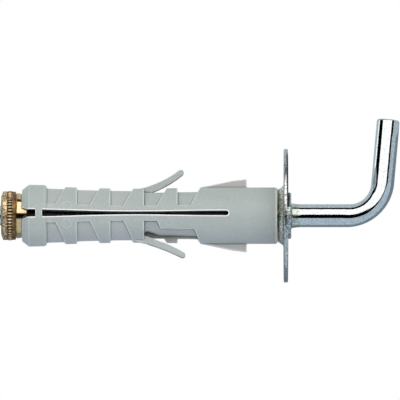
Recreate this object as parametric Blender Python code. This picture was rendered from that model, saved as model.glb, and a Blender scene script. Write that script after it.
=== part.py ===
"""Nylon plug with hook: an expansion anchor for a wall, with a right-angled hook and a cover plate.

The long axis is X. The plug points into the wall, towards -X, and the hook comes out towards +X with its arm up.
The origin is on the long axis, in the plane of the wall. Units are metres, +Z is up.
"""

import math

import bmesh
import bpy
from mathutils import Matrix

MM = 0.001

# Clearances
TOUCH_GAP = 0.3 * MM
MERGE = 0.00001 * MM

# Steel hook
ROD_RADIUS = 2.85 * MM
THREAD_RADIUS = 2.9 * MM
THREAD_LENGTH = 42.0 * MM
THREAD_END_CHAMFER = 0.7 * MM
THREAD_PROTRUSION = 0.6 * MM
SHOULDER_RADIUS = 5.75 * MM
SHOULDER_PROTRUSION = 0.8 * MM
SHOULDER_CHAMFER = 0.4 * MM
SHOULDER_FILLET = 0.35 * MM
ROD_STRAIGHT = 15.9 * MM
BEND_RADIUS = 8.65 * MM
BEND_THINNING = 0.06
ARM_HEIGHT = 23.85 * MM
ARM_LEAN = math.radians(5.2)
ARM_CHAMFER = 0.45 * MM

# Pressed cover plate
PLATE_RADIUS = 16.55 * MM
PLATE_THICKNESS = 1.05 * MM
PLATE_EDGE_ROUND = 0.25 * MM
DISH_HEIGHT = 1.2 * MM
DISH_RADIUS = 6.45 * MM
DISH_FLARE = math.radians(48.0)
DISH_FILLET = 1.2 * MM

# Brass expander nut
NUT_RIM_RADIUS = 6.05 * MM
NUT_RIM_LENGTH = 3.7 * MM
NUT_RIM_CHAMFER = 0.4 * MM
NUT_RIM_CHAMFER_DEPTH = 1.4 * MM
KNURL_DEPTH = 0.22 * MM
KNURL_START = 1.5 * MM
KNURL_WIDTH = 1.4 * MM
KNURL_TEETH = 48
NUT_NECK_RADIUS = 5.65 * MM
NUT_TAPER = math.radians(8.0)
NUT_LENGTH = 6.7 * MM
NUT_NOSE_CHAMFER = 0.4 * MM
NUT_PROJECTION = 5.2 * MM
NUT_TRAVEL_IN = 1.25 * MM

# Nylon plug, measured along it from its tip
PLUG_RADIUS = 7.0 * MM
PLUG_LENGTH = 63.3 * MM
PLUG_END_ROUND = 0.6 * MM
BORE_RADIUS = 3.5 * MM
TIP_RADIUS = 7.35 * MM
TIP_LENGTH = 6.1 * MM
TIP_CHAMFER = 1.7 * MM
TIP_FACE_RADIUS = 6.0 * MM
TIP_SHOULDER = 0.5 * MM
SLOT_WIDTH = 1.16 * MM
SLOT_LAND = 12.2 * MM
SLOT_LEAD_IN = 1.4 * MM
SLOT_LEAD_HEIGHT = 0.5 * MM
BRIDGE_START = 3.35 * MM
BRIDGE_LENGTH = 1.65 * MM
BRIDGE_DEPTH = 1.3 * MM

# Recesses between the ribs
FIRST_RECESS_LENGTH = 2.2 * MM
FIRST_FLOOR_RADIUS = 6.5 * MM
SECOND_RECESS = 13.6 * MM
RECESS_PITCH = 8.3 * MM
RECESS_LENGTH = 3.2 * MM
RECESS_SLANT = math.radians(27.0)
FLOOR_RADIUS = 6.4 * MM
LAST_FLOOR_RADIUS = 5.95 * MM
EDGE_STRIP = 2.15 * MM
BARB_STRIP = 3.95 * MM

# Barbs, fins and the bow of the halves
POCKET_FLOOR = 5.2 * MM
POCKET_HEEL_FLOOR = 4.45 * MM
POCKET_HEEL_LENGTH = 1.2 * MM
POCKET_HEEL_RAMP = 2.4 * MM
BARB_ROOT_HEIGHT = 6.4 * MM
BARB_LENGTH = 11.0 * MM
BARB_WIDTH = 2.6 * MM
BARB_EMBED = 2.6 * MM
BARB_ROOT_THICKNESS = 1.8 * MM
BARB_TIP_THICKNESS = 1.42 * MM
BARB_ROOT_ANGLE = math.radians(16.5)
UPPER_BARB_TIP_ANGLE = math.radians(40.0)
LOWER_BARB_TIP_ANGLE = math.radians(28.0)
FIN_RADIUS = 9.1 * MM
FIN_LENGTH = 11.6 * MM
FIN_RAMP = 8.0 * MM
FIN_RAMP_RADIUS = 8.65 * MM
FIN_THICKNESS = 1.1 * MM
FIN_SETBACK = 7.7 * MM
TIP_SPREAD = 0.35 * MM
MIDDLE_PINCH = 0.37 * MM

# Fineness of the round surfaces
PLUG_SEGMENTS = 56
BORE_SEGMENTS = 32
ROD_SEGMENTS = 32
PLATE_SEGMENTS = 72
BEND_STEPS = 14
ARC_STEPS = 4
BARB_STEPS = 6
BOW_STATIONS = 18

# Places that follow from the sizes
PLUG_SHOULDER_X = -(DISH_HEIGHT + TOUCH_GAP)
PLUG_TIP_X = PLUG_SHOULDER_X - PLUG_LENGTH
NUT_FACE_X = PLUG_TIP_X - NUT_PROJECTION
SHANK_END_X = NUT_FACE_X - THREAD_PROTRUSION
SHOULDER_SEAT_X = PLATE_THICKNESS - DISH_HEIGHT + TOUCH_GAP
SLOT_LENGTH = PLUG_LENGTH - SLOT_LAND
OUTSIDE = max(PLUG_RADIUS, TIP_RADIUS) + 1.0 * MM


def clear_scene():
    for obj in list(bpy.data.objects):
        bpy.data.objects.remove(obj)


def material(name, colour, roughness, metallic):
    made = bpy.data.materials.new(name)
    made.use_nodes = True
    shader = made.node_tree.nodes["Principled BSDF"]
    shader.inputs["Base Color"].default_value = (*colour, 1.0)
    shader.inputs["Roughness"].default_value = roughness
    shader.inputs["Metallic"].default_value = metallic
    return made


def solid_object(name, bm):
    """An object from a bmesh, which is freed."""
    mesh = bpy.data.meshes.new(name)
    bm.to_mesh(mesh)
    bm.free()
    made = bpy.data.objects.new(name, mesh)
    bpy.context.scene.collection.objects.link(made)
    return made


def finish(piece, look):
    """Gives a piece its material and smooth round surfaces with crisp edges."""
    piece.data.materials.clear()
    piece.data.materials.append(look)
    piece.data.shade_smooth()
    piece.data.set_sharp_from_angle(angle=math.radians(35.0))


def arc(centre, radius, start, end, steps=ARC_STEPS):
    """Points (x, r) on an arc; the angles are in degrees, 0 along +X and 90 outwards."""
    angles = [math.radians(start + (end - start) * i / steps) for i in range(steps + 1)]
    return [(centre[0] + radius * math.cos(a), centre[1] + radius * math.sin(a)) for a in angles]


def turned(profile, segments):
    """A bmesh turned about X from the closed profile (x, r)."""
    bm = bmesh.new()
    points = [bm.verts.new((x, 0.0, r)) for x, r in profile]
    edges = [bm.edges.new(pair) for pair in zip(points, points[1:] + points[:1])]
    bmesh.ops.spin(
        bm, geom=points + edges, cent=(0, 0, 0), axis=(1, 0, 0), angle=math.tau, steps=segments, use_merge=True
    )
    bmesh.ops.remove_doubles(bm, verts=bm.verts, dist=MERGE)
    bmesh.ops.dissolve_degenerate(bm, dist=MERGE, edges=bm.edges)
    on_axis = [edge for edge in bm.edges if not edge.link_faces]
    bmesh.ops.delete(bm, geom=on_axis, context="EDGES")
    bmesh.ops.recalc_face_normals(bm, faces=bm.faces)
    return bm


def add_prism(bm, outline, from_y, to_y):
    """Adds the outline (x, z), extruded along Y, to a bmesh."""
    face = bm.faces.new([bm.verts.new((x, from_y, z)) for x, z in outline])
    raised = bmesh.ops.extrude_face_region(bm, geom=[face])["geom"]
    ends = [part for part in raised if isinstance(part, bmesh.types.BMVert)]
    bmesh.ops.translate(bm, verts=ends, vec=(0, to_y - from_y, 0))
    bmesh.ops.recalc_face_normals(bm, faces=bm.faces)


def combine(body, tool, operation):
    """Joins or cuts the body with the tool, which is used up."""
    modifier = body.modifiers.new(operation.title(), "BOOLEAN")
    modifier.operation = operation
    modifier.solver = "EXACT"
    modifier.object = tool
    bpy.context.view_layer.update()
    graph = bpy.context.evaluated_depsgraph_get()
    result = bpy.data.meshes.new_from_object(body.evaluated_get(graph))
    body.modifiers.clear()
    body.data = result
    bpy.data.objects.remove(tool)


def recess_start(index):
    """The tip side of a recess, counted from the tip."""
    if index == 0:
        return TIP_LENGTH
    return SECOND_RECESS + (index - 1) * RECESS_PITCH


def slant_x(index, height):
    """The slanted side of a recess, which leans away from the tip as it leaves the slot."""
    length = FIRST_RECESS_LENGTH if index == 0 else RECESS_LENGTH
    return recess_start(index) + length + (height - EDGE_STRIP) * math.tan(RECESS_SLANT)


def recess_outline(index, side):
    left = recess_start(index)
    return [
        (left, side * EDGE_STRIP),
        (slant_x(index, EDGE_STRIP), side * EDGE_STRIP),
        (slant_x(index, OUTSIDE), side * OUTSIDE),
        (left, side * OUTSIDE),
    ]


def barb_recess_outline(side):
    """The long recess beside a barb, which takes in the fourth and the fifth."""
    left = recess_start(3)
    return [
        (left, side * EDGE_STRIP),
        (slant_x(3, EDGE_STRIP), side * EDGE_STRIP),
        (slant_x(3, BARB_STRIP), side * BARB_STRIP),
        (slant_x(4, BARB_STRIP), side * BARB_STRIP),
        (slant_x(4, OUTSIDE), side * OUTSIDE),
        (left, side * OUTSIDE),
    ]


def barb_pocket_outline(side):
    """The pocket that a barb folds into, deepest at the barb's heel."""
    left = recess_start(3)
    heel = left + POCKET_HEEL_LENGTH
    return [
        (left, side * POCKET_HEEL_FLOOR),
        (heel, side * POCKET_HEEL_FLOOR),
        (heel + POCKET_HEEL_RAMP, side * POCKET_FLOOR),
        (slant_x(4, POCKET_FLOOR), side * POCKET_FLOOR),
        (slant_x(4, OUTSIDE), side * OUTSIDE),
        (left, side * OUTSIDE),
    ]


def barb_outline(side, tip_angle):
    """A tongue that grows out of the rib before it, curves outwards, gets thinner and ends round."""
    inner = []
    outer = []
    step = (BARB_LENGTH - BARB_TIP_THICKNESS / 2) / BARB_STEPS
    x = recess_start(3)
    height = BARB_ROOT_HEIGHT
    for i in range(BARB_STEPS):
        share = i / BARB_STEPS
        angle = BARB_ROOT_ANGLE + (tip_angle - BARB_ROOT_ANGLE) * share
        half = (BARB_ROOT_THICKNESS + (BARB_TIP_THICKNESS - BARB_ROOT_THICKNESS) * share) / 2
        inner.append((x + half * math.sin(angle), height - half * math.cos(angle)))
        outer.append((x - half * math.sin(angle), height + half * math.cos(angle)))
        x += step * math.cos(angle)
        height += step * math.sin(angle)
    lean = math.degrees(tip_angle)
    tip = arc((x, height), BARB_TIP_THICKNESS / 2, lean - 90, lean + 90)
    root_x = outer[0][0] - BARB_EMBED * math.cos(BARB_ROOT_ANGLE)
    root_height = outer[0][1] - BARB_EMBED * math.sin(BARB_ROOT_ANGLE)
    return [(x, side * z) for x, z in [(root_x, root_height)] + inner + tip + outer[::-1]]


def fin_outline(side):
    """A ramped fin that grows towards the shoulder and ends square."""
    end = PLUG_LENGTH - FIN_SETBACK
    inside = BORE_RADIUS + (PLUG_RADIUS - BORE_RADIUS) / 2
    return [
        (end - FIN_LENGTH, side * inside),
        (end - FIN_LENGTH, side * PLUG_RADIUS),
        (end - FIN_LENGTH + FIN_RAMP, side * FIN_RAMP_RADIUS),
        (end, side * FIN_RADIUS),
        (end, side * inside),
    ]


def slot_outline():
    """The split between the halves, flared at the mouth and round at its inner end."""
    half = SLOT_WIDTH / 2
    end = arc((SLOT_LENGTH - half, 0.0), half, 90, -90, 2 * ARC_STEPS)
    upper = [(-MM, half + SLOT_LEAD_HEIGHT), (0.0, half + SLOT_LEAD_HEIGHT), (SLOT_LEAD_IN, half)]
    lower = [(x, -z) for x, z in reversed(upper)]
    return upper + end + lower


def plug_bore():
    """The bore, with the tapered mouth that the nut is drawn into."""
    mouth_radius = nut_radius_at_tip() + TOUCH_GAP
    mouth_depth = NUT_LENGTH - NUT_PROJECTION + NUT_TRAVEL_IN + TOUCH_GAP
    inner_radius = mouth_radius - mouth_depth * math.tan(NUT_TAPER)
    return turned(
        [
            (-MM, 0.0),
            (-MM, mouth_radius + MM * math.tan(NUT_TAPER)),
            (mouth_depth, inner_radius),
            (mouth_depth + inner_radius - BORE_RADIUS, BORE_RADIUS),
            (PLUG_LENGTH + MM, BORE_RADIUS),
            (PLUG_LENGTH + MM, 0.0),
        ],
        BORE_SEGMENTS,
    )


def plug_outside():
    shoulder = arc((PLUG_LENGTH - PLUG_END_ROUND, PLUG_RADIUS - PLUG_END_ROUND), PLUG_END_ROUND, 90, 0, 3)
    return turned(
        [
            (0.0, 0.0),
            (0.0, TIP_FACE_RADIUS),
            (TIP_CHAMFER, TIP_RADIUS),
            (TIP_LENGTH - TIP_SHOULDER, TIP_RADIUS),
            (TIP_LENGTH, PLUG_RADIUS),
        ]
        + shoulder
        + [(PLUG_LENGTH, 0.0)],
        PLUG_SEGMENTS,
    )


def recess_floor():
    """The round core that the recesses stop at."""
    change = (slant_x(0, OUTSIDE) + recess_start(1)) / 2
    last_change = (slant_x(2, OUTSIDE) + recess_start(3)) / 2
    end = slant_x(4, OUTSIDE) + MM
    return turned(
        [
            (-MM, 0.0),
            (-MM, FIRST_FLOOR_RADIUS),
            (change, FIRST_FLOOR_RADIUS),
            (change, FLOOR_RADIUS),
            (last_change, FLOOR_RADIUS),
            (last_change, LAST_FLOOR_RADIUS),
            (end, LAST_FLOOR_RADIUS),
            (end, 0.0),
        ],
        PLUG_SEGMENTS,
    )


def recess_cutters():
    """The recesses between the ribs, in two cutters. The first three go right round each half; past them each half
    has its ribs on one side of the mould's parting plane, and its barb on the other."""
    ribs = bmesh.new()
    barbs = bmesh.new()
    for side in (1, -1):
        for index in (0, 1, 2):
            add_prism(ribs, recess_outline(index, side), -OUTSIDE, OUTSIDE)
        for index in (3, 4):
            add_prism(ribs, recess_outline(index, side), -side * OUTSIDE, 0.0)
        add_prism(barbs, barb_recess_outline(side), 0.0, side * OUTSIDE)
    return solid_object("rib_recesses", ribs), solid_object("barb_recesses", barbs)


def slot_cutter():
    """The split through both sides, less the bridges that tie the halves together near the tip."""
    bm = bmesh.new()
    add_prism(bm, slot_outline(), -OUTSIDE, OUTSIDE)
    slot = solid_object("slot_cutter", bm)
    bm = bmesh.new()
    start = BRIDGE_START
    end = BRIDGE_START + BRIDGE_LENGTH
    bridge = [(start, -SLOT_WIDTH), (end, -SLOT_WIDTH), (end, SLOT_WIDTH), (start, SLOT_WIDTH)]
    outer = TIP_RADIUS + MM / 2
    inner = TIP_RADIUS - BRIDGE_DEPTH
    add_prism(bm, bridge, -outer, -inner)
    add_prism(bm, bridge, inner, outer)
    combine(slot, solid_object("bridges", bm), "DIFFERENCE")
    return slot


def bow(x):
    """How far each half is bent away from the axis: spread by the nut at the tip, pinched half-way."""
    share = min(max(x / SLOT_LENGTH, 0.0), 1.0)
    return TIP_SPREAD * (1.0 - share) ** 2 - MIDDLE_PINCH * math.sin(math.pi * share) ** 2


def bend_halves(plug):
    """Bows the two halves, after adding cross-sections for the bend to follow."""
    bm = bmesh.new()
    bm.from_mesh(plug.data)
    bmesh.ops.remove_doubles(bm, verts=bm.verts, dist=MERGE)
    for i in range(1, BOW_STATIONS):
        everything = bm.verts[:] + bm.edges[:] + bm.faces[:]
        station = (SLOT_LENGTH * i / BOW_STATIONS, 0, 0)
        bmesh.ops.bisect_plane(bm, geom=everything, dist=MERGE, plane_co=station, plane_no=(1, 0, 0))
    bmesh.ops.triangulate(bm, faces=bm.faces)
    for point in bm.verts:
        across = max(-1.0, min(1.0, point.co.z / (SLOT_WIDTH / 2)))
        point.co.z += across * bow(point.co.x)
    bmesh.ops.recalc_face_normals(bm, faces=bm.faces)
    bm.to_mesh(plug.data)
    bm.free()


def make_plug():
    plug = solid_object("plug", plug_outside())

    for recesses in recess_cutters():
        combine(recesses, solid_object("recess_floor", recess_floor()), "DIFFERENCE")
        combine(plug, recesses, "DIFFERENCE")

    bm = bmesh.new()
    for side in (1, -1):
        add_prism(bm, barb_pocket_outline(side), 0.0, side * OUTSIDE)
    combine(plug, solid_object("pocket_cutter", bm), "DIFFERENCE")

    bm = bmesh.new()
    for side, tip_angle in ((1, UPPER_BARB_TIP_ANGLE), (-1, LOWER_BARB_TIP_ANGLE)):
        add_prism(bm, barb_outline(side, tip_angle), 0.0, side * BARB_WIDTH)
        add_prism(bm, fin_outline(side), -FIN_THICKNESS / 2, FIN_THICKNESS / 2)
    combine(plug, solid_object("barbs_and_fins", bm), "UNION")

    combine(plug, solid_object("bore_cutter", plug_bore()), "DIFFERENCE")
    combine(plug, slot_cutter(), "DIFFERENCE")
    bend_halves(plug)

    plug.location = (PLUG_TIP_X, 0.0, 0.0)
    finish(plug, material("grey_nylon", (0.50, 0.53, 0.51), 0.45, 0.0))
    return plug


def nut_radius_at_tip():
    """The nut's tapered neck where it passes the tip face of the plug."""
    return NUT_NECK_RADIUS - (NUT_PROJECTION - NUT_RIM_LENGTH) * math.tan(NUT_TAPER)


def make_nut():
    """The brass nut, from its outer face along X. Every second ray of points sinks between the knurl's teeth."""
    hole = THREAD_RADIUS + TOUCH_GAP
    nose = NUT_NECK_RADIUS - (NUT_LENGTH - NUT_RIM_LENGTH) * math.tan(NUT_TAPER)
    profile = [
        (0.0, hole + NUT_RIM_CHAMFER),
        (0.0, NUT_RIM_RADIUS - NUT_RIM_CHAMFER_DEPTH),
        (NUT_RIM_CHAMFER, NUT_RIM_RADIUS),
        (KNURL_START, NUT_RIM_RADIUS),
        (KNURL_START + KNURL_DEPTH, NUT_RIM_RADIUS + KNURL_DEPTH / 2),
        (KNURL_START + KNURL_WIDTH - KNURL_DEPTH, NUT_RIM_RADIUS + KNURL_DEPTH / 2),
        (KNURL_START + KNURL_WIDTH, NUT_RIM_RADIUS),
        (NUT_RIM_LENGTH, NUT_RIM_RADIUS),
        (NUT_RIM_LENGTH, NUT_NECK_RADIUS),
        (NUT_LENGTH - NUT_NOSE_CHAMFER, nose + NUT_NOSE_CHAMFER * math.tan(NUT_TAPER)),
        (NUT_LENGTH, nose - NUT_NOSE_CHAMFER),
        (NUT_LENGTH, hole),
        (NUT_RIM_CHAMFER, hole),
    ]
    bm = turned(profile, 2 * KNURL_TEETH)
    for point in bm.verts:
        radius = math.hypot(point.co.y, point.co.z)
        ray = round(math.atan2(point.co.y, point.co.z) / (math.pi / KNURL_TEETH))
        if radius > NUT_RIM_RADIUS + KNURL_DEPTH / 4 and ray % 2:
            point.co.y *= (radius - KNURL_DEPTH) / radius
            point.co.z *= (radius - KNURL_DEPTH) / radius
    nut = solid_object("expander_nut", bm)
    nut.location = (NUT_FACE_X, 0.0, 0.0)
    finish(nut, material("turned_brass", (0.66, 0.47, 0.20), 0.3, 1.0))
    return nut


def make_hook():
    """The hook: the straight shank with its shoulder is turned, and its open end is swept round the bend."""
    seat = SHOULDER_SEAT_X
    top = PLATE_THICKNESS + SHOULDER_PROTRUSION
    thread_end = SHANK_END_X + THREAD_LENGTH
    profile = [
        (SHANK_END_X, 0.0),
        (SHANK_END_X, THREAD_RADIUS - THREAD_END_CHAMFER),
        (SHANK_END_X + THREAD_END_CHAMFER, THREAD_RADIUS),
        (thread_end, THREAD_RADIUS),
        (thread_end + THREAD_END_CHAMFER, ROD_RADIUS),
        (seat, ROD_RADIUS),
        (seat, SHOULDER_RADIUS - SHOULDER_CHAMFER),
        (seat + SHOULDER_CHAMFER, SHOULDER_RADIUS),
        (top - SHOULDER_CHAMFER, SHOULDER_RADIUS),
        (top, SHOULDER_RADIUS - SHOULDER_CHAMFER),
        (top, ROD_RADIUS + SHOULDER_FILLET),
        (top + 2 * SHOULDER_FILLET, ROD_RADIUS),
        (ROD_STRAIGHT, ROD_RADIUS),
    ]
    bm = bmesh.new()
    points = [bm.verts.new((x, 0.0, r)) for x, r in profile]
    edges = [bm.edges.new(pair) for pair in zip(points, points[1:])]
    bmesh.ops.spin(
        bm, geom=points + edges, cent=(0, 0, 0), axis=(1, 0, 0), angle=math.tau, steps=ROD_SEGMENTS, use_merge=True
    )
    bmesh.ops.remove_doubles(bm, verts=bm.verts, dist=MERGE)
    bmesh.ops.dissolve_degenerate(bm, dist=MERGE, edges=bm.edges)

    turn = math.pi / 2 - ARM_LEAN
    centre = (ROD_STRAIGHT, 0.0, BEND_RADIUS)
    ring = [edge for edge in bm.edges if edge.is_boundary]
    swept = bmesh.ops.spin(bm, geom=ring, cent=centre, axis=(0, -1, 0), angle=turn, steps=BEND_STEPS)
    thin_bend(bm, centre, turn)

    arm = (ARM_HEIGHT - BEND_RADIUS * (1.0 - math.cos(turn))) / math.cos(ARM_LEAN)
    along = (math.sin(ARM_LEAN), 0.0, math.cos(ARM_LEAN))
    ring = [part for part in swept["geom_last"] if isinstance(part, bmesh.types.BMEdge)]
    ring = stretch(bm, ring, along, arm - ARM_CHAMFER)
    ring = stretch(bm, ring, along, ARM_CHAMFER)
    end = list({point for edge in ring for point in edge.verts})
    middle = sum((point.co for point in end), end[0].co * 0.0) / len(end)
    bmesh.ops.scale(
        bm, verts=end, vec=[(ROD_RADIUS - ARM_CHAMFER) / ROD_RADIUS] * 3, space=Matrix.Translation(-middle)
    )
    bmesh.ops.contextual_create(bm, geom=ring)
    bmesh.ops.recalc_face_normals(bm, faces=bm.faces)
    hook = solid_object("hook", bm)
    finish(hook, material("zinc_plated_steel", (0.72, 0.75, 0.78), 0.22, 1.0))
    return hook


def stretch(bm, ring, along, length):
    """Extrudes a ring of edges straight on and gives back the new ring."""
    made = bmesh.ops.extrude_edge_only(bm, edges=ring)["geom"]
    ends = [part for part in made if isinstance(part, bmesh.types.BMVert)]
    bmesh.ops.translate(bm, verts=ends, vec=[length * part for part in along])
    return [part for part in made if isinstance(part, bmesh.types.BMEdge) and set(part.verts) <= set(ends)]


def thin_bend(bm, centre, turn):
    """The rod gets a little thinner across the bend, most at its middle."""
    for point in bm.verts:
        across = point.co.x - centre[0]
        if across <= MERGE:
            continue
        below = centre[2] - point.co.z
        angle = math.atan2(across, below)
        if angle >= turn - MERGE:
            continue
        distance = math.hypot(across, below)
        share = 1.0 - BEND_THINNING * math.sin(math.pi * angle / turn)
        wanted = BEND_RADIUS + (distance - BEND_RADIUS) * share
        point.co.x = centre[0] + across * wanted / distance
        point.co.z = centre[2] - below * wanted / distance


def make_plate():
    """The pressed plate: a sheet of even thickness with a dished hub towards the plug."""
    hole = THREAD_RADIUS + TOUCH_GAP
    flare = math.degrees(DISH_FLARE)
    foot = DISH_RADIUS + DISH_HEIGHT / math.tan(DISH_FLARE)
    swell = DISH_FILLET * math.tan(DISH_FLARE / 2)
    offset = PLATE_THICKNESS * math.tan(DISH_FLARE / 2)
    outer = PLATE_RADIUS - PLATE_EDGE_ROUND
    back = [(-DISH_HEIGHT, hole), (-DISH_HEIGHT, DISH_RADIUS)]
    back += arc((-DISH_FILLET, foot + swell), DISH_FILLET, -flare, 0)
    back += arc((PLATE_EDGE_ROUND, outer), PLATE_EDGE_ROUND, 180, 90, 2)
    front = arc((PLATE_THICKNESS - PLATE_EDGE_ROUND, outer), PLATE_EDGE_ROUND, 90, 0, 2)
    front += [
        (PLATE_THICKNESS, foot + offset),
        (PLATE_THICKNESS - DISH_HEIGHT, DISH_RADIUS + offset),
        (PLATE_THICKNESS - DISH_HEIGHT, hole),
    ]
    plate = solid_object("wall_plate", turned(back + front, PLATE_SEGMENTS))
    finish(plate, material("zinc_plated_sheet", (0.78, 0.80, 0.80), 0.25, 1.0))
    return plate


clear_scene()
make_plug()
make_nut()
make_hook()
make_plate()
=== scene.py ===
"""Nylon plug with hook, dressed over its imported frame.

Four pieces stand for the four solids: the split nylon moulding, the knurled brass nut, the zinc-plated hook
with its rolled thread, and the pressed cover plate. The long axis is X, and the wall's plane is X = 0.
Lengths are in metres, but the looks count in millimetres.
"""

import math

import bmesh
import bpy
import numpy as np
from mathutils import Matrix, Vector


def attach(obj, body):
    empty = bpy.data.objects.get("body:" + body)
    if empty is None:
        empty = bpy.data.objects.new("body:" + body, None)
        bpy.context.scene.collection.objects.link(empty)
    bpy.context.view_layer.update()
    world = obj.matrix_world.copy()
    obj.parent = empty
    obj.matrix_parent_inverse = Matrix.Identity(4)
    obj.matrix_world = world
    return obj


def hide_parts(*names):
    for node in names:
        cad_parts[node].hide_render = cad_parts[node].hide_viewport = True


MM = 0.001
WELD = 0.0005 * MM

# Sizes and places of the solids
ROD_RADIUS = 2.85 * MM
THREAD_RADIUS = 2.9 * MM
THREAD_LENGTH = 42.0 * MM
THREAD_END_CHAMFER = 0.7 * MM
SHANK_END_X = -70.6 * MM
SHOULDER_RADIUS = 5.75 * MM
SHOULDER_SEAT_X = 0.15 * MM
SHOULDER_TOP_X = 1.85 * MM
SHOULDER_CHAMFER = 0.4 * MM
SHOULDER_FILLET = 0.35 * MM
ROD_STRAIGHT = 15.9 * MM
BEND_RADIUS = 8.65 * MM
BEND_THINNING = 0.06
ARM_HEIGHT = 23.85 * MM
ARM_LEAN = math.radians(5.2)

PLATE_RADIUS = 16.55 * MM
PLATE_THICKNESS = 1.05 * MM
DISH_HEIGHT = 1.2 * MM
DISH_RADIUS = 6.45 * MM
DISH_FLARE = math.radians(48.0)
DISH_FILLET = 1.2 * MM
HOLE_RADIUS = 3.2 * MM

NUT_FACE_X = -70.0 * MM
NUT_RIM_RADIUS = 6.05 * MM
NUT_RIM_LENGTH = 3.7 * MM
NUT_LENGTH = 6.7 * MM
NUT_NECK_RADIUS = 5.65 * MM
NUT_TAPER = math.radians(8.0)
KNURL_START = 1.5 * MM
KNURL_WIDTH = 1.4 * MM
KNURL_DEPTH = 0.22 * MM
KNURL_TEETH = 48

PLUG_TIP_X = -64.8 * MM
PLUG_SHOULDER_X = -1.5 * MM
PLUG_RADIUS = 7.0 * MM
SLOT_LENGTH = 51.1 * MM
SLOT_HALF_WIDTH = 0.58 * MM
TIP_SPREAD = 0.35 * MM
MIDDLE_PINCH = 0.37 * MM
BRIDGE_X = -60.63 * MM

# Detail that is finer than the solids
THREAD_PITCH = 1.0 * MM
THREAD_DEPTH = 0.5 * MM
THREAD_RUNOUT = 0.2 * MM
THREAD_CONE = 0.6 * MM
ARM_EDGE = 0.5 * MM
ARM_END_STEP = 0.75 * MM
FILLET_LIFT = 0.55 * MM
PLATE_EDGE = 0.28 * MM
DISH_REACH = 0.2 * MM
DISH_RIM_ROUND = 0.25 * MM
DISH_RIM_STEP = 0.1 * MM
NUT_CHAMFER = 0.5 * MM
NUT_NOSE_STEP = 0.4 * MM
KNURL_PRESS = 0.38 * MM
KNURL_CROWN = 0.2 * MM
KNURL_ROUND = 0.6
KNURL_RUNOUT = 5.0
WITNESS_X = -53.7 * MM
WITNESS_HEIGHTS = (1.78 * MM, -2.55 * MM)
WITNESS_RADIUS = 1.08 * MM
WITNESS_WIDTH = 0.17 * MM
WITNESS_RISE = 0.09 * MM

# One turn of the thread: shares of its pitch and of its depth
THREAD_TOOTH = ((0.0, 0.0), (0.2, 0.0), (0.45, 1.0), (0.6, 1.0), (0.85, 0.0))

# Steps of a profile in millimetres, along X and outwards, from a corner of the piece
NECK_SWELL = ((0.7, 0.15), (1.3, 0.07), (2.1, 0.01), (2.6, 0.0))
NUT_FRONT = ((0.0, -1.4), (0.5, -0.02), (1.42, -0.02))
NUT_RIM_BACK = ((-0.72, -0.05), (-0.15, -0.1), (0.0, -0.3))
NUT_NECK = ((0.05, -0.25), (0.3, -0.04))
DISH_TOP_CORNER = ((0.0, 0.15), (-0.06, 0.0))
DISH_FLOOR_CORNER = ((0.06, 0.0), (0.0, -0.15))

# Fineness of the meshes
THREAD_STEPS = 48
ROD_STEPS = 96
BEND_STEPS = 40
PLATE_STEPS = 144
KNURL_STATIONS = 12
STEPS_A_TOOTH = 8
VOXEL = 0.12 * MM
SMOOTH_FACTOR = 0.5
SMOOTH_ROUNDS = 3
PLUG_THINNING = 0.21
EDGE_TURN_GAIN = 2.5
EDGE_TURN_BLUR_ROUNDS = 2

# Where the plug's look changes along X, in millimetres
SLOT_START = (-63.5, -62.5)
RIBS_START = (-60.0, -58.0)
BARBS = (-37.0, -36.0, -24.0, -23.0)
POCKETS = (-36.0, -35.0, -21.0, -20.0)
FINS_START = (-22.0, -20.0)

# The photograph's view: long lens, a little below the level of the rod
VIEW_ELEVATION = math.radians(-5.9)
LENS = 1200.0
SENSOR = 36.0
VIEW_WIDTH = 99.1 * MM
VIEW_CENTRE_X = -20.74 * MM
VIEW_CENTRE_UP = 3.89 * MM
CLIP_START = 0.1
CLIP_END = 20.0

# The studio round the object, in degrees: to the side, and up from the camera over the top
DEGREES = 180.0 / math.pi
BOX_SIDES = (-51.0, -49.5, 37.0, 38.5)
BOX_TOP = (65.4, 64.4)
SILL = 10.0
SILL_CLIMB = 26.0
SILL_LOWEST = -2.0
SURROUND_SIDES = (-81.5, -80.0, 59.5, 61.0)
HEM_STEEP = (1.76, 65.3)
HEM_FLAT = (0.45, 15.1)
HEM_LOWEST = -26.9
BROW = 84.4
BROW_SLOPE = -0.35
SIDE_WALL = ((-74.0, -76.0), (52.0, 60.0))
STRIP_SIDES = (-79.0, -77.5, -66.0, -64.5)
STRIP_FOOT = (100.0, 105.0)

# The floor in metres, and where it fades out in millimetres
FLOOR_RADIUS = 3.0
FLOOR_Z = -0.42
FLOOR_FADE = (300.0, 1400.0)


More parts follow.
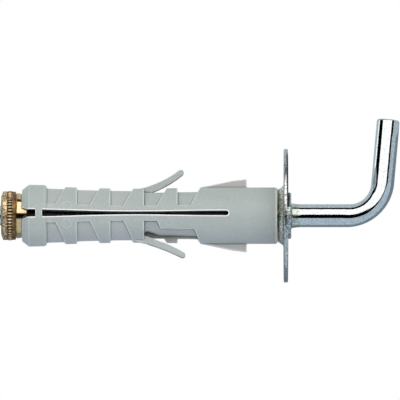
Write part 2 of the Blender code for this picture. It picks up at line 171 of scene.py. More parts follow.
class Value:
    """A socket of a look, which adds the Math nodes of the sums it stands in."""

    def __init__(self, look, socket):
        self.look = look
        self.socket = socket

    def maths(self, operation, *others):
        return self.look.node("ShaderNodeMath", {"operation": operation}, [self, *others])

    def __add__(self, other):
        return self.maths("ADD", other)

    __radd__ = __add__

    def __mul__(self, other):
        return self.maths("MULTIPLY", other)

    __rmul__ = __mul__

    def __sub__(self, other):
        return self.maths("SUBTRACT", other)

    def __rsub__(self, other):
        return self.look.node("ShaderNodeMath", {"operation": "SUBTRACT"}, [other, self])

    def __truediv__(self, other):
        return self.maths("DIVIDE", other)

    def __pow__(self, other):
        return self.maths("POWER", other)

    def __abs__(self):
        return self.maths("ABSOLUTE")

    def rise(self, low, high):
        """0 below low and 1 above high, smooth in between; with low above high it falls."""
        ends = {"From Min": low, "From Max": high, "To Min": 0.0, "To Max": 1.0}
        if low > high:
            ends = {"From Min": high, "From Max": low, "To Min": 1.0, "To Max": 0.0}
        settings = {"interpolation_type": "SMOOTHSTEP"}
        return self.look.node("ShaderNodeMapRange", settings, {"Value": self, **ends})

    def between(self, start, low, high, end):
        """1 from low to high, 0 before start and past end, smooth in between."""
        return self.rise(start, low) * self.rise(end, high)


class Look:
    """The nodes of one material or of the world."""

    def __init__(self, owner):
        owner.use_nodes = True
        self.owner = owner
        self.tree = owner.node_tree

    def node(self, kind, settings=None, sockets=None, out=0):
        """Adds a node: its settings first, then the values or links of its sockets."""
        made = self.tree.nodes.new(kind)
        for name, value in (settings or {}).items():
            setattr(made, name, value)
        pairs = sockets.items() if isinstance(sockets, dict) else enumerate(sockets or [])
        for key, value in pairs:
            if isinstance(value, Value):
                self.tree.links.new(value.socket, made.inputs[key])
            else:
                made.inputs[key].default_value = value
        return Value(self, made.outputs[out])

    def parts(self, vector):
        """The x, y and z of a vector."""
        return [self.node("ShaderNodeSeparateXYZ", None, [vector], axis) for axis in "XYZ"]

    def coordinates(self):
        """Object coordinates in millimetres, as a vector and as x, y and z."""
        here = self.node("ShaderNodeTexCoord", out="Object")
        scaled = self.node("ShaderNodeVectorMath", {"operation": "SCALE"}, {0: here, "Scale": 1.0 / MM})
        return scaled, self.parts(scaled)

    def stretch(self, vector, scale):
        return self.node("ShaderNodeVectorMath", {"operation": "MULTIPLY"}, [vector, scale])

    def noise(self, vector, scale, detail=2.0, roughness=0.5):
        """Smooth noise around 0.5; the scale is in features per millimetre."""
        sockets = {"Vector": vector, "Scale": scale, "Detail": detail, "Roughness": roughness}
        return self.node("ShaderNodeTexNoise", None, sockets)

    def mix(self, factor, first, second):
        """A colour between two colours. A Mix node takes them in sockets 6 and 7 and gives socket 2."""
        return self.node("ShaderNodeMix", {"data_type": "RGBA"}, {0: factor, 6: first, 7: second}, 2)

    def bump(self, height):
        """A normal from a height in millimetres."""
        return self.node("ShaderNodeBump", None, {"Height": height, "Distance": MM, "Strength": 1.0})

    def leaned(self, normal, drop):
        """A normal that leans down a little, which moves the reflected lamp with it."""
        moved = self.node("ShaderNodeVectorMath", {"operation": "ADD"}, [normal, drop])
        return self.node("ShaderNodeVectorMath", {"operation": "NORMALIZE"}, [moved])

    def finish(self, **sockets):
        """Sets the shader's sockets by name, with spaces for underscores."""
        shader = self.tree.nodes["Principled BSDF"]
        for name, value in sockets.items():
            socket = shader.inputs[name.replace("_", " ")]
            if isinstance(value, Value):
                self.tree.links.new(value.socket, socket)
            else:
                socket.default_value = value
        return self.owner


def colour(red, green, blue):
    return (red, green, blue, 1.0)


# Materials


def slot_edge(x, z):
    """How many millimetres a point lies from the slot's edge, and where along the plug the slot is open."""
    half = SLOT_HALF_WIDTH / MM
    share = (x - PLUG_TIP_X / MM) / (SLOT_LENGTH / MM)
    spread = 1.0 - share
    pinch = (share * math.pi).maths("SINE")
    edge = abs(z) - half - spread * spread * (TIP_SPREAD / MM) + pinch * pinch * (MIDDLE_PINCH / MM)
    past_end = x - (PLUG_TIP_X + SLOT_LENGTH) / MM + half
    round_end = (past_end * past_end + z * z) ** 0.5 - half
    edge = edge + (round_end - edge) * past_end.rise(0.0, 0.01)
    off_bridge = 1.0 - abs(x - BRIDGE_X / MM).rise(0.95, 0.8)
    return edge - pinch * pinch * 0.06, off_bridge * x.rise(*SLOT_START)


def moulded_nylon():
    look = Look(bpy.data.materials.new("moulded_nylon"))
    here, (x, y, z) = look.coordinates()
    radius = (y * y + z * z) ** 0.5
    cloud = look.noise(here, 0.12, 3.0)
    flow = look.noise(look.stretch(here, (0.15, 1.0, 1.0)), 0.5, 3.0)
    grain = look.noise(here, 3.0, 2.0)
    base = look.mix(cloud.rise(0.3, 0.7), colour(0.410, 0.468, 0.440), colour(0.430, 0.475, 0.460))
    base = look.mix(flow.rise(0.35, 0.75) * 0.5, base, colour(0.382, 0.435, 0.425))
    base = look.mix(grain.rise(0.35, 0.70) * 0.6, base, colour(0.335, 0.378, 0.375))

    outside = PLUG_RADIUS / MM
    fins = radius.rise(outside + 0.1, outside + 0.6) * x.rise(*FINS_START)
    base = look.mix(fins * 0.8, base, colour(0.455, 0.430, 0.425))
    edge_turn = look.node("ShaderNodeAttribute", {"attribute_name": "edge_turn"}, out="Fac")
    # Painted shade: corners and creases, where the surface turns inwards, are darkened.
    base = look.mix(edge_turn.rise(-0.05, -0.18) * 0.65, base, colour(0.10, 0.11, 0.12))
    barbs = radius.rise(outside + 0.2, outside + 0.5) * x.between(*BARBS)
    # Painted highlight: ridges and edges, where the surface turns outwards, are lightened, except on the
    # barbs.
    base = look.mix(edge_turn.rise(0.06, 0.20) * (1.0 - barbs) * 0.55, base, colour(0.85, 0.89, 0.86))
    # Painted shade: the floors of the recesses between the ribs are tinted bluish-grey.
    sunk = radius.between(6.1, 6.2, 6.65, 6.75) * x.rise(*RIBS_START)
    base = look.mix(sunk * 0.3, base, colour(0.46, 0.455, 0.48))
    # Painted shade: the deep floors of the barbs' pockets, low on the plug, are darker and browner.
    deep = radius.rise(5.85, 5.60) * z.rise(-3.0, -3.5) * x.between(*POCKETS)
    base = look.mix(deep * 0.5, base, colour(0.30, 0.27, 0.25))
    # Painted shade: the downward-facing sides of the barbs are darkened.
    normal = look.node("ShaderNodeNewGeometry", out="Normal")
    facing = look.node("ShaderNodeSeparateXYZ", None, [normal], "Z")
    base = look.mix(facing.rise(-0.35, -0.75) * barbs * 0.5, base, colour(0.18, 0.18, 0.20))

    from_end = x - PLUG_SHOULDER_X / MM
    # Painted highlight: a bright band round the collar near the moulding's end.
    collar = from_end.between(-0.54, -0.48, -0.32, -0.26)
    base = look.mix(collar * 0.95, base, colour(1.0, 1.0, 0.86))
    # Painted shadow: the end of the moulding against the plate is near black.
    base = look.mix(from_end.rise(-0.22, -0.14) * 0.9, base, colour(0.03, 0.04, 0.03))
    edge, slotted = slot_edge(x, z)
    lit_lip = edge.rise(0.32, 0.20) * radius.rise(6.3, 6.6) * slotted
    base = look.mix(lit_lip, base, colour(0.93, 0.96, 0.94))
    # Painted shade: the walls inside the slot are near black.
    base = look.mix(edge.rise(0.07, -0.01) * slotted * 0.95, base, colour(0.02, 0.02, 0.02))
    return look.finish(
        Base_Color=base,
        Roughness=0.42 + grain * 0.12,
        Normal=look.bump(grain * 0.015 + flow * 0.02),
        Specular_IOR_Level=0.4,
        Sheen_Weight=0.25,
        Sheen_Roughness=0.4,
    )


def turned_brass():
    look = Look(bpy.data.materials.new("turned_brass"))
    here, (x, y, z) = look.coordinates()
    radius = (y * y + z * z) ** 0.5
    from_rim = radius - NUT_RIM_RADIUS / MM
    along = x - NUT_FACE_X / MM
    stain = look.noise(here, 0.6, 3.0)
    speck = look.noise(here, 2.8, 1.5, 0.6)
    grit = look.noise(here, 4.5, 1.0)
    lathe = look.noise(look.node("ShaderNodeCombineXYZ", None, [x * 6.0, radius * 6.0, 0.0]), 1.0, 2.0)
    polished = look.mix(stain.rise(0.35, 0.7), colour(0.90, 0.68, 0.42), colour(0.80, 0.58, 0.34))
    polished = look.mix(speck.rise(0.46, 0.62) * 0.8, polished, colour(0.56, 0.46, 0.30))
    dull = look.mix(speck.rise(0.43, 0.59), colour(1.0, 0.76, 0.46), colour(0.24, 0.14, 0.07))
    rim = (along - NUT_RIM_LENGTH / MM).rise(0.02, -0.02)
    base = look.mix(rim, polished, dull)

    # Painted reflection: a dark band round the neck, just below its middle height.
    dark_neck_reflection = z.between(-1.4, -1.2, 0.0, 0.2) * (1.0 - rim)
    base = look.mix(dark_neck_reflection * 0.85, base, colour(0.10, 0.07, 0.03))
    # Painted shade: the back of the rim, where it steps down to the neck, is dark brown.
    foot = along.rise(2.6, 3.15) * rim
    base = look.mix(foot * 0.8, base, colour(0.16, 0.07, 0.01))
    knurl_start = KNURL_START / MM
    knurl_end = (KNURL_START + KNURL_WIDTH) / MM
    knurl = along.between(knurl_start - 0.08, knurl_start + 0.05, knurl_end - 0.05, knurl_end + 0.08)
    gritty = look.mix(grit.rise(0.40, 0.60), colour(0.72, 0.47, 0.20), colour(0.24, 0.12, 0.03))
    base = look.mix(knurl * 0.75, base, gritty)
    # Painted glints: bright specks on the knurl's crests, which are also made less metallic so that they stay
    # bright.
    crest = from_rim.rise(0.03, 0.08) * knurl * speck.rise(0.68, 0.50)
    base = look.mix(crest, base, colour(1.0, 0.95, 0.84))
    groove = from_rim.rise(-0.02, -0.12) * knurl
    base = look.mix(groove * 0.95, base, colour(0.08, 0.03, 0.005))
    return look.finish(
        Base_Color=base,
        Metallic=1.0 - crest * 0.75 - rim * speck.rise(0.44, 0.36) * 0.25,
        Roughness=0.10 + stain * 0.10 + rim * 0.24,
        Normal=look.leaned(look.bump(lathe * 0.012 + speck * rim * 0.08), (0.0, 0.0, -0.125)),
    )


def zinc_rod():
    """The hook's plating, laid on the rod as it was before the bend."""
    look = Look(bpy.data.materials.new("zinc_plated_rod"))
    along = look.node("ShaderNodeAttribute", {"attribute_name": "unbent"}, out="Vector")
    x, y, z = look.parts(along)
    radius = (y * y + z * z) ** 0.5
    cloud = look.noise(look.stretch(along, (0.4, 1.0, 1.0)), 0.5, 3.0)
    drawn = look.noise(look.stretch(along, (0.06, 1.0, 1.0)), 3.2, 3.0)
    speck = look.noise(look.stretch(along, (0.7, 1.0, 1.0)), 3.0, 1.5, 0.6)
    base = look.mix(cloud.rise(0.3, 0.7), colour(0.82, 0.84, 0.85), colour(0.76, 0.79, 0.81))
    base = look.mix(speck.rise(0.42, 0.62) * 0.85, base, colour(0.50, 0.55, 0.58))

    shoulder = radius.rise(3.25, 3.5) * x.between(-1.0, 0.0, 1.9, 2.2)
    mottled = look.mix(speck.rise(0.42, 0.60), colour(0.80, 0.85, 0.86), colour(0.20, 0.23, 0.24))
    base = look.mix(shoulder, base, mottled)
    # Painted shadow: a near-black band round the shoulder next to the plate, on its upper part.
    shut = shoulder * x.between(0.98, 1.06, 1.42, 1.52) * z.rise(1.4, 1.8)
    base = look.mix(shut, base, colour(0.015, 0.020, 0.018))
    # Painted shade: the fillet at the foot of the shoulder is dark, except near the top.
    foot = x.between(1.70, 1.80, 2.00, 2.15) * radius.rise(3.9, 3.6) * z.rise(2.2, 1.8)
    base = look.mix(foot * 0.85, base, colour(0.06, 0.07, 0.07))
    hub = x.between(1.0, 1.9, 3.2, 4.4) * (1.0 - shoulder)
    haze = look.mix(speck.rise(0.40, 0.62), colour(0.74, 0.76, 0.62), colour(0.34, 0.38, 0.34))
    base = look.mix(hub * 0.8, base, haze)
    hub_shade = hub * z.between(-0.95, -0.75, -0.10, 0.15)
    base = look.mix(hub_shade * 0.8, base, colour(0.12, 0.14, 0.13))
    # Painted shade: the thread inside the plug is near black.
    inside = x.between(-67.0, -66.0, -4.0, -2.0)
    base = look.mix(inside * 0.93, base, colour(0.04, 0.04, 0.04))

    straight = x.rise(17.0, 14.0) * (1.0 - shoulder)
    drop = look.node("ShaderNodeCombineXYZ", None, [0.0, 0.0, straight * -0.025 - shoulder * 0.09])
    relief = drawn * 0.002 + speck * 0.0015 + speck * (shoulder + hub * 0.3) * 0.07
    return look.finish(
        Base_Color=base,
        Metallic=1.0,
        Roughness=0.045 + cloud * 0.03 + speck * 0.02 + shoulder * 0.22 + hub * 0.10 + inside * 0.3,
        Normal=look.leaned(look.bump(relief), drop),
    )


def zinc_sheet():
    look = Look(bpy.data.materials.new("zinc_plated_sheet"))
    here, (x, y, z) = look.coordinates()
    radius = (y * y + z * z) ** 0.5
    cloud = look.noise(here, 0.35, 4.0)
    streak = look.noise(look.stretch(here, (1.0, 0.35, 2.0)), 1.6, 3.0)
    speck = look.noise(here, 2.6, 1.5, 0.6)
    base = look.mix(cloud.rise(0.3, 0.7), colour(0.74, 0.75, 0.74), colour(0.66, 0.68, 0.66))
    base = look.mix(streak.rise(0.5, 0.75) * 0.5, base, colour(0.52, 0.54, 0.50))

    sheared = (radius - PLATE_RADIUS / MM).rise(-0.35, -0.25)
    mottled = look.mix(speck.rise(0.45, 0.60), colour(1.0, 1.0, 0.98), colour(0.24, 0.25, 0.25))
    # The speckle is the sheared edge's own; darker towards the top and greyer towards the bottom is painted
    # reflection.
    mottled = look.mix(z.rise(8.0, 13.0) * 0.4, mottled, colour(0.30, 0.30, 0.29))
    mottled = look.mix(z.rise(-4.0, -6.0) * 0.5, mottled, colour(0.50, 0.47, 0.48))
    base = look.mix(sheared, base, mottled)
    # Painted reflection: a near-black band on the front of the plate's rounded edge, over its upper half.
    dark_rim_reflection = sheared * x.rise(0.54, 0.70) * z.between(0.2, 0.8, 14.0, 15.5)
    base = look.mix(dark_rim_reflection * 0.93, base, colour(0.05, 0.06, 0.06))
    dish = x.rise(0.0, -0.25) * radius.rise(9.0, 8.2)
    pressed = look.mix(speck.rise(0.43, 0.61), colour(1.0, 0.99, 0.88), colour(0.30, 0.33, 0.28))
    base = look.mix(dish, base, pressed)
    # Painted shadow: the back of the dish, against the moulding's end, is near black.
    contact_shade = x.rise(-1.14, -1.26)
    base = look.mix(contact_shade * 0.95, base, colour(0.02, 0.03, 0.02))
    relief = streak * 0.012 + speck * 0.008 + speck * (sheared + dish) * 0.03
    return look.finish(
        Base_Color=base,
        Metallic=1.0,
        Roughness=0.14 + cloud * 0.10 + sheared * 0.06 + dish * 0.22,
        Normal=look.leaned(look.bump(relief), (0.0, 0.0, -0.07)),
    )


# Meshes


def placed(name, data):
    """A new object at the origin."""
    made = bpy.data.objects.new(name, data)
    bpy.context.scene.collection.objects.link(made)
    return made


def mesh_from(name, bm):
    """A mesh from a bmesh, which is used up."""
    mesh = bpy.data.meshes.new(name)
    bm.to_mesh(mesh)
    bm.free()
    return mesh


def piece(name, mesh, look, body, node, sharp):
    """A finished piece, riding on its body and standing for its solid."""
    made = placed(name, mesh)
    mesh.shade_smooth()
    mesh.set_sharp_from_angle(angle=math.radians(sharp))
    mesh.materials.append(look)
    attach(made, body)
    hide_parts(node)


def stepped(x, radius, steps):
    """Points (x, r) at steps in millimetres from one point."""
    return [(x + along * MM, radius + out * MM) for along, out in steps]


def arc(centre, radius, start, end, steps):
    """Points (x, r) on an arc; the angles are in degrees, 0 along +X and 90 outwards."""
    angles = [math.radians(start + (end - start) * i / steps) for i in range(steps + 1)]
    return [(centre[0] + radius * math.cos(a), centre[1] + radius * math.sin(a)) for a in angles]


def turned(profile, steps, bm):
    """Adds the closed profile (x, r), turned about X, to a bmesh."""
    points = [bm.verts.new((x, 0.0, r)) for x, r in profile]
    edges = [bm.edges.new(pair) for pair in zip(points, points[1:] + points[:1])]
    bmesh.ops.spin(
        bm, geom=points + edges, cent=(0, 0, 0), axis=(1, 0, 0), angle=math.tau, steps=steps, use_merge=True
    )
    bmesh.ops.remove_doubles(bm, verts=bm.verts, dist=WELD)
    bmesh.ops.dissolve_degenerate(bm, dist=WELD, edges=bm.edges)
    bmesh.ops.delete(bm, geom=[edge for edge in bm.edges if not edge.link_faces], context="EDGES")
    bmesh.ops.recalc_face_normals(bm, faces=bm.faces)


def wave(share):
    """A triangle wave, 1 at each whole number and 0 half-way between two."""
    return abs((share % 1.0) * 2.0 - 1.0)


def settled(holder):
    """The mesh of an object with its modifiers applied."""
    bpy.context.view_layer.update()
    graph = bpy.context.evaluated_depsgraph_get()
    return bpy.data.meshes.new_from_object(holder.evaluated_get(graph))


def read(values, name):
    """A vector for each item of a mesh's list, as rows."""
    rows = np.empty(len(values) * 3)
    values.foreach_get(name, rows)
    return rows.reshape(-1, 3)


def raise_rings(mesh):
    """Two plain rings, left by the mould's pins, on the front of the moulding."""
    places = read(mesh.vertices, "co")
    lift = np.zeros(len(places))
    for height in WITNESS_HEIGHTS:
        away = np.hypot(places[:, 0] - WITNESS_X, places[:, 2] - height) - WITNESS_RADIUS
        bump = np.cos(np.clip(away / WITNESS_WIDTH, -1.0, 1.0) * math.pi / 2)
        lift += np.where(places[:, 1] < 0.0, bump, 0.0) * WITNESS_RISE
    places += read(mesh.vertex_normals, "vector") * lift[:, None]
    mesh.vertices.foreach_set("co", places.ravel())
    mesh.update()


def mark_edge_turn(mesh):
    """Stores how sharply the surface turns at each point: above 0 on ridges, below 0 in corners. The nylon's
    look paints highlights on the ridges and shade in the corners from it.
    """
    places = read(mesh.vertices, "co")
    normals = read(mesh.vertex_normals, "vector")
    count = len(places)
    ends = np.empty(len(mesh.edges) * 2, dtype=np.int64)
    mesh.edges.foreach_get("vertices", ends)
    first, second = ends.reshape(-1, 2).T
    gap = places[first] - places[second]
    never_zero = 1e-12
    gap /= np.linalg.norm(gap, axis=1, keepdims=True) + never_zero
    share = np.bincount(first, minlength=count) + np.bincount(second, minlength=count)
    turn = np.bincount(first, (normals[first] * gap).sum(axis=1), count)
    turn -= np.bincount(second, (normals[second] * gap).sum(axis=1), count)
    turn /= share
    for _ in range(EDGE_TURN_BLUR_ROUNDS):
        turn = (np.bincount(first, turn[second], count) + np.bincount(second, turn[first], count)) / share
    stored = mesh.attributes.new("edge_turn", "FLOAT", "POINT")
    stored.data.foreach_set("value", (turn * EDGE_TURN_GAIN).astype(np.float32))


def moulded_plug(look):
    """The moulding from a copy of its solid, with the mould's soft edges."""
    source = bmesh.new()
    source.from_mesh(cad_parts["plug"].data)
    bmesh.ops.remove_doubles(source, verts=source.verts, dist=WELD)
    holder = placed("plug_rough", mesh_from("plug_rough", source))
    remesh = holder.modifiers.new("Even", "REMESH")
    remesh.mode = "VOXEL"
    remesh.voxel_size = VOXEL
    smooth = holder.modifiers.new("Soft", "SMOOTH")
    smooth.factor = SMOOTH_FACTOR
    smooth.iterations = SMOOTH_ROUNDS
    even = settled(holder)
    raise_rings(even)
    mark_edge_turn(even)
    holder.modifiers.clear()
    holder.data = even
    thin = holder.modifiers.new("Thin", "DECIMATE")
    thin.ratio = PLUG_THINNING
    mesh = settled(holder)
    mesh.name = "plug_moulding"
    bpy.data.objects.remove(holder)
    piece("plug_moulding", mesh, look, "plug", "plug", sharp=60.0)


def press_knurl(bm):
    """Presses straight grooves across the nut's knurled band, fading out at its edges."""
    lowest = NUT_RIM_RADIUS - 0.15 * MM
    for point in bm.verts:
        across = (point.co.x - NUT_FACE_X - KNURL_START) / KNURL_WIDTH
        radius = math.hypot(point.co.y, point.co.z)
        if not (0.0 < across < 1.0 and radius > lowest):
            continue
        tooth = wave(KNURL_TEETH * math.atan2(point.co.y, point.co.z) / math.tau)
        ends = min(1.0, KNURL_RUNOUT * across, KNURL_RUNOUT * (1.0 - across))
        scale = (radius - KNURL_PRESS * ends * (1.0 - tooth ** KNURL_ROUND)) / radius
        point.co.y *= scale
        point.co.z *= scale


def knurled_nut(look):
    """The nut, turned with a row of stations across the band that the knurl is pressed into."""
    nose = NUT_NECK_RADIUS - (NUT_LENGTH - NUT_RIM_LENGTH) * math.tan(NUT_TAPER)
    crest = NUT_RIM_RADIUS + KNURL_DEPTH / 2
    shares = [i / KNURL_STATIONS for i in range(KNURL_STATIONS + 1)]
    profile = [(NUT_CHAMFER, HOLE_RADIUS), (0.0, HOLE_RADIUS + NUT_CHAMFER)]
    profile += stepped(0.0, NUT_RIM_RADIUS, NUT_FRONT)
    profile += [(KNURL_START + KNURL_WIDTH * s, crest - KNURL_CROWN * (2.0 * s - 1.0) ** 2) for s in shares]
    profile += stepped(NUT_RIM_LENGTH, NUT_RIM_RADIUS, NUT_RIM_BACK)
    profile += stepped(NUT_RIM_LENGTH, NUT_NECK_RADIUS, NUT_NECK)
    profile += [
        (NUT_LENGTH - NUT_NOSE_STEP, nose + 0.05 * MM),
        (NUT_LENGTH, nose - NUT_NOSE_STEP),
        (NUT_LENGTH, HOLE_RADIUS),
    ]
    bm = bmesh.new()
    turned([(x + NUT_FACE_X, r) for x, r in profile], STEPS_A_TOOTH * KNURL_TEETH, bm)
    press_knurl(bm)
    mesh = mesh_from("knurled_nut", bm)
    piece("knurled_nut", mesh, look, "nut", "expander_nut", sharp=40.0)


def rolled_thread(bm):
    """Adds the thread: a toothed profile spun one pitch forward in a turn, then cut square at both ends."""
    turns = round(THREAD_LENGTH / THREAD_PITCH) + 2
    start = SHANK_END_X - THREAD_PITCH
    root = THREAD_RADIUS - THREAD_DEPTH
    points = [
        bm.verts.new((start + (i + share) * THREAD_PITCH, 0.0, root + out * THREAD_DEPTH))
        for i in range(turns)
        for share, out in THREAD_TOOTH
    ]
    edges = [bm.edges.new(pair) for pair in zip(points, points[1:])]
    step = (THREAD_PITCH / THREAD_STEPS, 0, 0)
    bmesh.ops.spin(
        bm, geom=points + edges, cent=(0, 0, 0), axis=(1, 0, 0), dvec=step, angle=math.tau, steps=THREAD_STEPS
    )
    bmesh.ops.remove_doubles(bm, verts=bm.verts, dist=WELD)
    for x, outward in ((SHANK_END_X, -1), (SHANK_END_X + THREAD_LENGTH + THREAD_RUNOUT, 1)):
        everything = bm.verts[:] + bm.edges[:] + bm.faces[:]
        bmesh.ops.bisect_plane(
            bm, geom=everything, dist=WELD, plane_co=(x, 0, 0), plane_no=(outward, 0, 0), clear_outer=True
        )
    for point in bm.verts:
        limit = THREAD_RADIUS - THREAD_END_CHAMFER + (point.co.x - SHANK_END_X)
        radius = math.hypot(point.co.y, point.co.z)
        if radius > limit:
            point.co.y *= limit / radius
            point.co.z *= limit / radius
    bmesh.ops.holes_fill(bm, edges=[edge for edge in bm.edges if edge.is_boundary])
    bmesh.ops.recalc_face_normals(bm, faces=bm.faces)


def bend_point(x, height):
    """Where a point of the straight rod lies once the rod is bent: its x and z."""
    turn = math.pi / 2 - ARM_LEAN
    angle = min(max((x - ROD_STRAIGHT) / BEND_RADIUS, 0.0), turn)
    thinning = 1.0 - BEND_THINNING * math.sin(math.pi * angle / turn)
    inward = height * thinning
    past = max(x - ROD_STRAIGHT - BEND_RADIUS * turn, 0.0)
    before = min(x, ROD_STRAIGHT)
    return (
        before + (BEND_RADIUS - inward) * math.sin(angle) + past * math.cos(angle),
        BEND_RADIUS - (BEND_RADIUS - inward) * math.cos(angle) + past * math.sin(angle),
    )


def straight_rod():
    """The profile (x, r) of the rod before its bend, from the thread's end to the arm's end."""
    turn = math.pi / 2 - ARM_LEAN
    arm = (ARM_HEIGHT - BEND_RADIUS * (1.0 - math.cos(turn))) / math.cos(ARM_LEAN)
    bend_end = ROD_STRAIGHT + BEND_RADIUS * turn
    tip = bend_end + arm
    thread_end = SHANK_END_X + THREAD_LENGTH
    chamfer = SHOULDER_CHAMFER
    profile = [
        (thread_end, 0.0),
        (thread_end, THREAD_RADIUS - THREAD_DEPTH),
        (thread_end + THREAD_CONE, ROD_RADIUS),
        (SHOULDER_SEAT_X, ROD_RADIUS),
        (SHOULDER_SEAT_X, SHOULDER_RADIUS - chamfer),
        (SHOULDER_SEAT_X + chamfer, SHOULDER_RADIUS),
    ]
    profile += arc((SHOULDER_TOP_X - chamfer, SHOULDER_RADIUS - chamfer), chamfer, 90, 0, 4)
    fillet = (SHOULDER_TOP_X + SHOULDER_FILLET, ROD_RADIUS + FILLET_LIFT)
    profile += arc(fillet, SHOULDER_FILLET, -180, -110, 4)
    profile += stepped(SHOULDER_TOP_X, ROD_RADIUS, NECK_SWELL)
    profile += [(ROD_STRAIGHT * share, ROD_RADIUS) for share in (0.4, 0.6, 0.8, 1.0)]
    bend = (bend_end - ROD_STRAIGHT) / BEND_STEPS
    profile += [(ROD_STRAIGHT + bend * i, ROD_RADIUS) for i in range(1, BEND_STEPS + 1)]
    profile += [(bend_end + (arm - ARM_EDGE) * share, ROD_RADIUS) for share in (0.25, 0.5, 0.75)]
    profile += arc((tip - ARM_EDGE, ROD_RADIUS - ARM_EDGE), ARM_EDGE, 90, 20, 4)
    return profile + [(tip, ROD_RADIUS - ARM_END_STEP), (tip, 0.0)]


def zinc_hook(look):
    """The hook: thread, plain rod and shoulder are made straight, then the rod is bent."""
    bm = bmesh.new()
    rolled_thread(bm)
    turned(straight_rod(), ROD_STEPS, bm)
    unbent = bm.verts.layers.float_vector.new("unbent")
    for point in bm.verts:
        point[unbent] = point.co / MM
        if point.co.x > ROD_STRAIGHT:
            point.co.x, point.co.z = bend_point(point.co.x, point.co.z)
    mesh = mesh_from("zinc_hook", bm)
    piece("zinc_hook", mesh, look, "hook", "hook", sharp=35.0)


def cover_plate(look):
    """The pressed plate: a sheet of even thickness with a dished hub and rounded edges."""
    flare = math.degrees(DISH_FLARE)
    foot = DISH_RADIUS + DISH_HEIGHT / math.tan(DISH_FLARE)
    swell = DISH_FILLET * math.tan(DISH_FLARE / 2)
    offset = PLATE_THICKNESS * math.tan(DISH_FLARE / 2)
    edge = PLATE_EDGE
    outer = PLATE_RADIUS - edge
    back = -DISH_HEIGHT - DISH_REACH
    floor_x = PLATE_THICKNESS - DISH_HEIGHT
    rim = (back + DISH_RIM_ROUND, DISH_RADIUS - DISH_RIM_STEP)
    profile = [(back, HOLE_RADIUS)]
    profile += arc(rim, DISH_RIM_ROUND, 180, 90 + flare, 3)
    profile += arc((-DISH_FILLET, foot + swell), DISH_FILLET, -flare, 0, 8)
    profile += arc((edge, outer), edge, 180, 90, 4)
    profile += arc((PLATE_THICKNESS - edge, outer), edge, 90, 0, 4)
    profile += stepped(PLATE_THICKNESS, foot + offset, DISH_TOP_CORNER)
    profile += stepped(floor_x, DISH_RADIUS + offset, DISH_FLOOR_CORNER)
    profile += [(floor_x, HOLE_RADIUS)]
    bm = bmesh.new()
    turned(profile, PLATE_STEPS, bm)
    mesh = mesh_from("cover_plate", bm)
    piece("cover_plate", mesh, look, "plate", "wall_plate", sharp=30.0)


# Stage


def camera():
    data = bpy.data.cameras.new("camera")
    data.lens = LENS
    data.sensor_width = SENSOR
    data.clip_start = CLIP_START
    data.clip_end = CLIP_END
    made = placed("camera", data)
    forward = Vector((0, math.cos(VIEW_ELEVATION), -math.sin(VIEW_ELEVATION)))
    up = Vector((0, math.sin(VIEW_ELEVATION), math.cos(VIEW_ELEVATION)))
    centre = Vector((VIEW_CENTRE_X, 0, 0)) + VIEW_CENTRE_UP * up
    made.location = centre - forward * (VIEW_WIDTH * LENS / SENSOR)
    made.rotation_euler = (math.pi / 2 - VIEW_ELEVATION, 0, 0)
    bpy.context.scene.camera = made


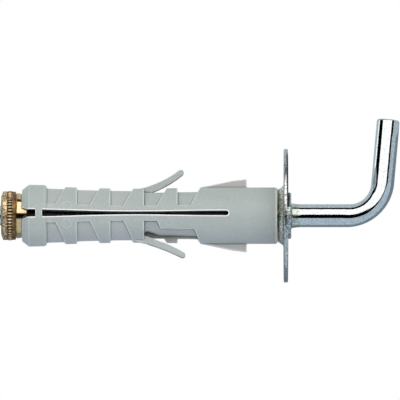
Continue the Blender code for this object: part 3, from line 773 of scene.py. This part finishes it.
def studio():
    """A softbox in front of and above the object, with a dark surround, in a pale room."""
    world = bpy.data.worlds.new("studio")
    bpy.context.scene.world = world
    look = Look(world)
    direction = look.node("ShaderNodeTexCoord", out="Generated")

    def along(*axis):
        sockets = [direction, axis]
        return look.node("ShaderNodeVectorMath", {"operation": "DOT_PRODUCT"}, sockets, "Value")

    towards = along(0, -math.cos(VIEW_ELEVATION), math.sin(VIEW_ELEVATION))
    upward = along(0, math.sin(VIEW_ELEVATION), math.cos(VIEW_ELEVATION))
    side = along(1, 0, 0).maths("ARCSINE") * DEGREES
    height = upward.maths("ARCTAN2", towards) * DEGREES

    sill = (SILL - side).maths("MINIMUM", SILL)
    sill = sill.maths("MAXIMUM", side - SILL_CLIMB).maths("MAXIMUM", SILL_LOWEST)
    box = (height - sill).rise(-0.4, 0.8) * height.rise(*BOX_TOP) * side.between(*BOX_SIDES)
    steep = side * HEM_STEEP[0] - HEM_STEEP[1]
    flat = side * HEM_FLAT[0] - HEM_FLAT[1]
    hem = steep.maths("MINIMUM", flat).maths("MAXIMUM", HEM_LOWEST)
    brow = BROW + (side * BROW_SLOPE).maths("MAXIMUM", 0.0)
    surround = (height - hem).rise(-0.8, 0.8) * (height - brow).rise(0.8, -0.8)
    surround = surround * side.between(*SURROUND_SIDES)

    black = colour(0.0, 0.0, 0.0)
    below = look.mix(height.rise(-115.0, -98.0), colour(0.22, 0.27, 0.31), colour(0.51, 0.615, 0.69))
    room = look.mix(height.rise(0.0, 20.0), below, colour(0.53, 0.607, 0.645))
    side_wall = side.rise(*SIDE_WALL[0]) * height.rise(*SIDE_WALL[1])
    mirrored = look.mix(side_wall, room, colour(1.2, 1.22, 1.24))
    strip = side.between(*STRIP_SIDES) * height.rise(*STRIP_FOOT)
    mirrored = look.mix(strip, mirrored, colour(1.25, 1.3, 1.32))
    mirrored = look.mix(surround, mirrored, black)
    fill = look.mix(height.rise(-10.0, 10.0), colour(0.50, 0.56, 0.66), colour(0.82, 0.87, 0.91))
    fill = look.mix(surround, fill, black)

    glossy = look.node("ShaderNodeLightPath", out="Is Glossy Ray")
    seen = look.mix(glossy, fill, mirrored)
    glow = look.mix(glossy, colour(2.18, 2.14, 2.06), colour(1.5, 1.48, 1.44))
    seen = look.mix(box, seen, glow)
    backdrop = look.node("ShaderNodeLightPath", out="Is Camera Ray")
    seen = look.mix(backdrop, seen, colour(1.0, 1.0, 1.0))
    look.tree.links.new(seen.socket, look.tree.nodes["Background"].inputs["Color"])


def floor():
    """A pale round floor, which fades out far from the object and isn't seen from below."""
    bm = bmesh.new()
    bmesh.ops.create_circle(bm, cap_ends=True, segments=96, radius=FLOOR_RADIUS)
    bmesh.ops.translate(bm, verts=bm.verts, vec=(0, 0, FLOOR_Z))
    made = placed("floor", mesh_from("floor", bm))
    look = Look(bpy.data.materials.new("pale_floor"))
    x, y, _ = look.coordinates()[1]
    far = ((x * x + y * y) ** 0.5).rise(*FLOOR_FADE)
    underside = look.node("ShaderNodeNewGeometry", out="Backfacing")
    seen = look.node("ShaderNodeLightPath", out="Is Camera Ray")
    veil = (far + underside).maths("MINIMUM", 1.0) * seen
    look.finish(Base_Color=colour(0.86, 0.86, 0.95), Roughness=0.9, Alpha=1.0 - veil)
    made.data.materials.append(look.owner)
    made.visible_glossy = False


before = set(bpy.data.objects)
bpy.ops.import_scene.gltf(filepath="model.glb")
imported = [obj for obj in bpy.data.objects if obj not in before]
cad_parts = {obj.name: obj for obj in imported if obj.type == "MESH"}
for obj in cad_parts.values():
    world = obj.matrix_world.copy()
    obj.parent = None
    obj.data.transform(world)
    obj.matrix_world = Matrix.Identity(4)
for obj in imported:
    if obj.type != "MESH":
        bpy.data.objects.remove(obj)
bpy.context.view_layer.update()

camera()
studio()
floor()
moulded_plug(moulded_nylon())
knurled_nut(turned_brass())
zinc_hook(zinc_rod())
cover_plate(zinc_sheet())

bpy.context.scene.view_settings.view_transform = "Standard"
